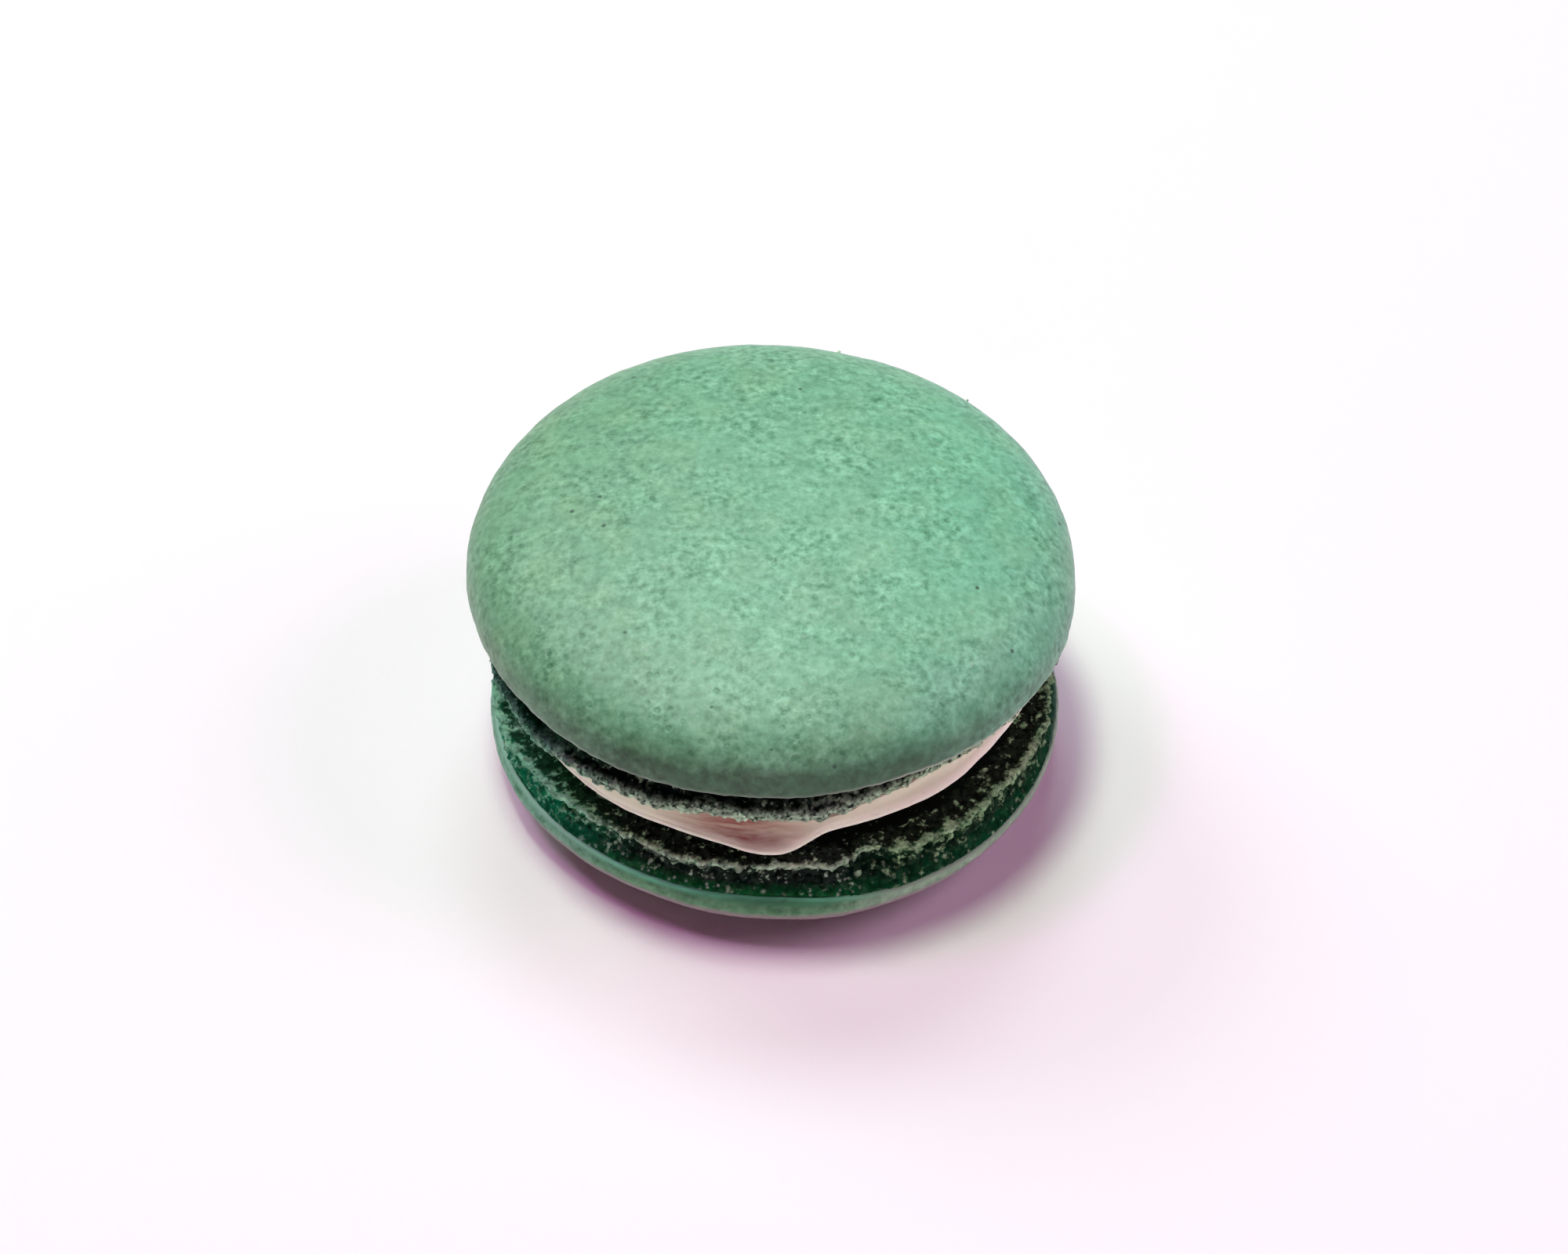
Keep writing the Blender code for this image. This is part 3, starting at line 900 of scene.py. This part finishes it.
# Painted shade on the flat face between the shells, near black in front and greener at the left, over the face's
# real browning.
FACE_SHADE_LEFT = (0.003, 0.040, 0.015)
FACE_SHADE_FRONT = (0.0010, 0.004, 0.002)
FACE_SHADE_RIGHT = (0.0025, 0.006, 0.003)
SPECK_LEFT = (0.10, 0.38, 0.21)
SPECK_FRONT = (0.32, 0.42, 0.35)
SPECK_RIGHT = (0.16, 0.22, 0.12)
PIT = (0.10, 0.28, 0.18)
PIT_CELL = 0.44
PIT_RADIUS = 0.14
SPECK_CELL = 0.48
SPECK_RADIUS = 0.13


def from_left(tree, place, left, front, right):
    """A colour that changes across the macaron from left to right."""
    across = node(tree, "ShaderNodeSeparateXYZ", {0: place}).outputs[0]
    color = mixed(tree, mapped(tree, across, -17, -9), left, front)
    return mixed(tree, mapped(tree, across, 3, 10), color, right)


def specked(tree, place, color, strength):
    """The colour with tiny dull specks of crumb in it, thicker in some places than in others."""
    patchy = mapped(tree, noise_value(tree, place, 2.0, 2), 0.4, 0.65, 0.05, 1)
    specks = math_node(tree, "MULTIPLY", spots(tree, place, SPECK_CELL, SPECK_RADIUS, 0.6), patchy)
    specks = math_node(tree, "MULTIPLY", specks, strength)
    return mixed(tree, specks, color, from_left(tree, place, SPECK_LEFT, SPECK_FRONT, SPECK_RIGHT))


def crumbly(tree, shader, color, rough):
    """Finishes a crumbly surface: the colour broken up, and a dented matt finish."""
    shade = mapped(tree, rough, 0.3, 0.7, 0.4, 1.5, False)
    color = mixed(tree, 1.0, color, grey(tree, shade), "MULTIPLY")
    tree.links.new(color, shader.inputs["Base Color"])
    dent = node(tree, "ShaderNodeBump", {"Height": rough, "Strength": 0.8, "Distance": 0.00008})
    tree.links.new(dent.outputs[0], shader.inputs["Normal"])
    shader.inputs["Roughness"].default_value = 0.8
    shader.inputs["Specular IOR Level"].default_value = 0.04


def foot_material(name, frill_colors, recess_shade_colors, pitted):
    """Crumbly meringue: pale frills over recesses painted in shade of very dark green, and a browned flat face,
    darkened further as painted shade.
    """
    made, tree, shader, place = new_material(name)
    frill = from_left(tree, place, *frill_colors)
    toasted = mapped(tree, noise_value(tree, place, 2.2, 2), 0.52, 0.68, 0, 0.35)
    frill = mixed(tree, toasted, frill, TOAST)
    # Painted shade: the recesses between crumbs are very dark green, near black in front.
    deep = from_left(tree, place, *recess_shade_colors)
    deep = mixed(tree, mark(tree, "low"), deep, from_left(tree, place, *LOW_RECESS_SHADE))
    # Painted shade: the flat face under the top shell goes near black.
    deep = mixed(tree, mark(tree, "face"), deep, from_left(tree, place, FACE_SHADE_LEFT, FACE_SHADE_FRONT, FACE_SHADE_RIGHT))
    deep = specked(tree, place, deep, mapped(tree, mark(tree, "face"), 0, 1, 1, 0.25))
    foam = noise_value(tree, place, 0.9, 4, 0.68)
    foam = mapped(tree, math_node(tree, "MULTIPLY_ADD", mark(tree, "mottle"), 0.2, foam), 0.60, 0.72)
    pale = math_node(tree, "MAXIMUM", mark(tree, "pale"), math_node(tree, "MULTIPLY", foam, 0.8))
    rough = noise_value(tree, place, 0.55, 3, 0.6)
    pits = math_node(tree, "MULTIPLY", spots(tree, place, PIT_CELL, PIT_RADIUS, 0.65), pitted)
    frill = mixed(tree, pits, frill, mixed(tree, 1.0, frill, PIT, "MULTIPLY"))
    crumbly(tree, shader, mixed(tree, pale, deep, frill), rough)
    return made


def face_material(name):
    """The flat face of a shell, browned and darkened as painted shade, near black in front, with dull specks."""
    made, tree, shader, place = new_material(name)
    rough = noise_value(tree, place, 0.5, 3, 0.6)
    dark = from_left(tree, place, FACE_SHADE_LEFT, FACE_SHADE_FRONT, FACE_SHADE_RIGHT)
    crumbly(tree, shader, specked(tree, place, dark, 0.2), rough)
    return made


CREAM = (0.80, 0.82, 0.59)
# Painted highlight colour for the cream's lip.
CREAM_LIP_HIGHLIGHT = (0.98, 1.0, 0.80)
# Painted shade colour for the cream's hollow.
CREAM_HOLLOW_SHADE = (0.23, 0.045, 0.032)
CREAM_STAIN = (0.33, 0.35, 0.22)


def cream_material(name):
    """Smooth pale cream, with a dark pink hollow as painted shade and a lighter lip as a painted highlight,
    stained by crumbs near the shell.
    """
    made, tree, shader, place = new_material(name)
    smear = node(tree, "ShaderNodeVectorMath", {0: place, 1: (1, 1, 5)}, operation="MULTIPLY")
    streaks = noise_value(tree, smear.outputs[0], 3.0, 3)
    # Painted shade in the hollow, streaked.
    hollow_shade = math_node(tree, "MULTIPLY", mark(tree, "hollow"), mapped(tree, streaks, 0.3, 0.6, 0.7, 1.0))
    # Painted highlight on the lip.
    color = mixed(tree, mark(tree, "lip"), CREAM, CREAM_LIP_HIGHLIGHT)
    color = mixed(tree, hollow_shade, color, CREAM_HOLLOW_SHADE)
    grain = noise_value(tree, place, 0.5, 2)
    stain = math_node(tree, "ADD", mark(tree, "stain"), mapped(tree, grain, 0.3, 0.7, -0.4, 0.4, False))
    color = mixed(tree, mapped(tree, stain, 0.2, 1.0, 0, 0.8), color, CREAM_STAIN)
    tree.links.new(color, shader.inputs["Base Color"])
    dent = node(tree, "ShaderNodeBump", {"Height": grain, "Strength": 0.25, "Distance": 0.00004})
    tree.links.new(dent.outputs[0], shader.inputs["Normal"])
    shader.inputs["Roughness"].default_value = 0.45
    shader.inputs["Subsurface Weight"].default_value = 0.25
    shader.inputs["Subsurface Radius"].default_value = (1.0, 0.5, 0.3)
    shader.inputs["Subsurface Scale"].default_value = 0.0008
    return made


# Stage ----------------------------------------------------------------------------------------------

FLOOR_SIZE = 4.0
FLOOR_COLOR = (0.885, 0.86, 0.868)


def make_floor():
    """A plain pale table top."""
    mesh = bpy.data.meshes.new("floor")
    half = FLOOR_SIZE / 2
    corners = [(-half, -half, 0), (half, -half, 0), (half, half, 0), (-half, half, 0)]
    mesh.from_pydata(corners, [], [(0, 1, 2, 3)])
    floor = bpy.data.objects.new("floor", mesh)
    bpy.context.scene.collection.objects.link(floor)
    made, tree, shader, place = new_material("floor")
    shader.inputs["Base Color"].default_value = (*FLOOR_COLOR, 1)
    shader.inputs["Roughness"].default_value = 0.9
    shader.inputs["Specular IOR Level"].default_value = 0.1
    mesh.materials.append(made)


# Each light: azimuth (0 is in front, 90 to the right) and elevation in degrees, width in m, watts, colour.
Lamp = namedtuple("Lamp", "name azimuth elevation width watts color")
LAMPS = [
    Lamp("back", 180, 60, 0.3, 1.60, (0.77, 0.98, 1.0)),
    Lamp("back_left", -135, 42, 0.4, 2.20, (0.78, 0.98, 0.90)),
    Lamp("left", -90, 68, 0.15, 1.35, (1.0, 0.35, 0.90)),
    Lamp("top_left", -90, 84, 0.15, 3.30, (0.79, 1.0, 0.78)),
    Lamp("right", 90, 42, 0.5, 2.20, (1.0, 0.62, 0.93)),
    Lamp("low_front", 0, 2.5, 0.05, 0.95, (1.0, 0.74, 0.84)),
]
LAMP_DISTANCE = 0.8
AMBIENT = (1.0, 0.1, 0.5)
AMBIENT_STRENGTH = 0.06


def make_lights():
    """Soft boxes round the macaron, and a dim even surrounding."""
    middle = Vector((0, 0, 10 * MM))
    for lamp in LAMPS:
        data = bpy.data.lights.new(lamp.name, "AREA")
        data.shape = "DISK"
        data.size = lamp.width
        data.energy = lamp.watts
        data.color = lamp.color
        light = bpy.data.objects.new(lamp.name, data)
        turn, lift = math.radians(lamp.azimuth), math.radians(lamp.elevation)
        way = Vector((math.sin(turn) * math.cos(lift), -math.cos(turn) * math.cos(lift), math.sin(lift)))
        light.location = middle + LAMP_DISTANCE * way
        light.rotation_euler = way.to_track_quat("Z", "Y").to_euler()
        bpy.context.scene.collection.objects.link(light)
    world = bpy.data.worlds.new("studio")
    world.use_nodes = True
    background = world.node_tree.nodes["Background"]
    background.inputs["Color"].default_value = (*AMBIENT, 1)
    background.inputs["Strength"].default_value = AMBIENT_STRENGTH
    bpy.context.scene.world = world


def make_camera():
    """The photograph's view of the front, from above."""
    data = bpy.data.cameras.new("camera")
    data.lens = CAMERA_LENS
    data.clip_start = 0.01
    camera = bpy.data.objects.new("camera", data)
    lift = CAMERA_ELEVATION
    back = Vector((0, -math.cos(lift), math.sin(lift)))
    up = Vector((0, math.sin(lift), math.cos(lift)))
    target = Vector((AXIS.x, AXIS.y, CAMERA_TARGET_HEIGHT))
    aim = target + CAMERA_AIM[0] * Vector((1, 0, 0)) + CAMERA_AIM[1] * up
    camera.location = (aim + CAMERA_DISTANCE * back) * MM
    camera.rotation_euler = (math.pi / 2 - lift, 0, 0)
    bpy.context.scene.collection.objects.link(camera)
    bpy.context.scene.camera = camera


# Making it ------------------------------------------------------------------------------------------


def main():
    """Dresses the frame."""
    top_skin = skin_material("top_skin", TOP_CREST_HIGHLIGHT, TOP_GLOSS)
    bottom_skin = skin_material("bottom_skin", BOTTOM_CREST_HIGHLIGHT, BOTTOM_GLOSS)
    top_foot = foot_material("top_foot", TOP_FRILL, TOP_RECESS_SHADE, 0.35)
    bottom_foot = foot_material("bottom_foot", BOTTOM_FRILL, BOTTOM_RECESS_SHADE, 0.85)
    face = face_material("baked_face_shade")
    for node_name, shell, frill, crumbs, place, skin, foot in (
        ("shell_top", TOP, TOP_FOOT, TOP_CRUMBS, TOP_PLACE, top_skin, top_foot),
        ("shell_bottom", BOTTOM, BOTTOM_FOOT, BOTTOM_CRUMBS, BOTTOM_PLACE, bottom_skin, bottom_foot),
    ):
        pieces = [
            make_skin(node_name + "_skin", shell, place, skin),
            make_foot(node_name + "_foot", shell, frill, place, foot),
            make_face(node_name + "_face", shell, place, face),
            make_crumbs(node_name + "_crumbs", shell, crumbs, place, foot),
        ]
        for piece in pieces:
            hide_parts(node_name)
    cream = make_cream("cream", cream_material("cream"))
    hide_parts("filling")
    make_floor()
    make_lights()
    make_camera()
    bpy.context.scene.view_settings.view_transform = "Standard"


main()
